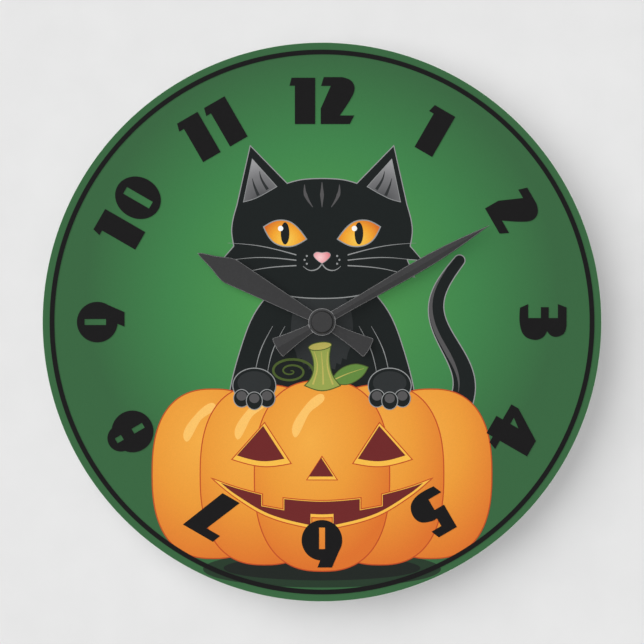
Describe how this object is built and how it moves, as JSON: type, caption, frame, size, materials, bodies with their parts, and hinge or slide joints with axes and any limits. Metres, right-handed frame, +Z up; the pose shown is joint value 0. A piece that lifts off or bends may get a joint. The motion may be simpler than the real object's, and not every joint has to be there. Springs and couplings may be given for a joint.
{
  "type": "wall clock",
  "caption": "Round wall clock: a printed acrylic disc with numerals and a picture, two dark hands on its centre spindle, and a square battery quartz movement behind.",
  "frame": {"origin": "centre of the hanger keyhole's round hole, in the plane of the wall, 34 mm above the hand spindle", "axes": "+Z up, -Y out of the dial towards the viewer, +Y into the wall, +X to the viewer's right"},
  "size_m": [0.273, 0.0292, 0.273],
  "materials": {
    "dial_acrylic": "polished clear-edged acrylic, printed on its face",
    "gasket_rubber": "matte",
    "spindle_brass": "turned",
    "case_plastic": "fine moulded texture",
    "plate_plastic": "natural",
    "wheel_plastic": "natural",
    "bobbin_plastic": "satin",
    "hanger_steel": "zinc plated",
    "motor_iron": "stamped",
    "copper_wire": "enamelled winding",
    "board_laminate": "solder mask",
    "chip_resin": "gloss",
    "contact_steel": "nickel plated",
    "rotor_magnet": "sintered",
    "cell_can": "satin",
    "cell_wrapper": "gloss sleeve",
    "hand_paint": "semi-gloss",
    "knob_plastic": "natural"
  },
  "bodies": {
    "root": {"dial_panel": "dial_acrylic", "dial_gasket": "gasket_rubber", "dial_washer": "spindle_brass", "hex_nut": "spindle_brass", "threaded_bushing": "spindle_brass", "front_case": "case_plastic", "rear_cover": "case_plastic", "hanger_plate": "hanger_steel", "hanger_screws": "hanger_steel", "middle_plate": "plate_plastic", "train_bridge": "plate_plastic", "bridge_screws": "hanger_steel", "stator": "motor_iron", "coil_core": "motor_iron", "coil_bobbin": "bobbin_plastic", "coil_winding": "copper_wire", "circuit_board": "board_laminate", "chip_blob": "chip_resin", "quartz_crystal": "contact_steel", "contact_positive": "contact_steel", "contact_negative": "contact_steel"},
    "minute": {"minute_hand": "hand_paint", "cap_nut": "hand_paint", "cannon_arbor": "wheel_plastic", "centre_wheel": "wheel_plastic"},
    "hour": {"hour_hand": "hand_paint", "hour_wheel": "wheel_plastic"},
    "motion": {"motion_wheel": "wheel_plastic"},
    "setting": {"setting_knob": "knob_plastic", "setting_gear": "wheel_plastic"},
    "third": {"third_wheel": "wheel_plastic"},
    "seconds": {"seconds_wheel": "wheel_plastic", "seconds_arbor": "contact_steel"},
    "intermediate": {"intermediate_wheel": "wheel_plastic"},
    "rotor": {"rotor_magnet": "rotor_magnet", "rotor_pinion": "wheel_plastic"},
    "battery": {"battery_can": "cell_can", "battery_wrapper": "cell_wrapper"}
  },
  "joints": [
    {"name": "minute_turn", "type": "hinge", "parent": "root", "child": "minute", "pos_m": [0, 0, -0.034], "axis": [0, 1, 0], "continuous": true},
    {"name": "hour_turn", "type": "hinge", "parent": "root", "child": "hour", "pos_m": [0, 0, -0.034], "axis": [0, 1, 0], "continuous": true},
    {"name": "motion_turn", "type": "hinge", "parent": "root", "child": "motion", "pos_m": [0.0075, 0, -0.034], "axis": [0, 1, 0], "continuous": true},
    {"name": "knob_turn", "type": "hinge", "parent": "root", "child": "setting", "pos_m": [0.01413, 0, -0.02737], "axis": [0, 1, 0], "continuous": true},
    {"name": "third_turn", "type": "hinge", "parent": "root", "child": "third", "pos_m": [0.00589, 0, -0.0306], "axis": [0, 1, 0], "continuous": true},
    {"name": "seconds_turn", "type": "hinge", "parent": "root", "child": "seconds", "pos_m": [0, 0, -0.034], "axis": [0, 1, 0], "continuous": true},
    {"name": "intermediate_turn", "type": "hinge", "parent": "root", "child": "intermediate", "pos_m": [-0.00606, 0, -0.0305], "axis": [0, 1, 0], "continuous": true},
    {"name": "rotor_turn", "type": "hinge", "parent": "root", "child": "rotor", "pos_m": [-0.00876, 0, -0.02582], "axis": [0, 1, 0], "continuous": true},
    {"name": "battery_slide", "type": "slide", "parent": "root", "child": "battery", "axis": [0, 1, 0], "range_m": [0, 0.02]}
  ],
  "couplings": [
    {"joint": "hour_turn", "follows": "minute_turn", "ratio": 0.083333},
    {"joint": "motion_turn", "follows": "minute_turn", "ratio": -0.33333},
    {"joint": "knob_turn", "follows": "minute_turn", "ratio": 0.5},
    {"joint": "third_turn", "follows": "minute_turn", "ratio": -8},
    {"joint": "seconds_turn", "follows": "minute_turn", "ratio": 60},
    {"joint": "intermediate_turn", "follows": "minute_turn", "ratio": -360},
    {"joint": "rotor_turn", "follows": "minute_turn", "ratio": 1800}
  ]
}
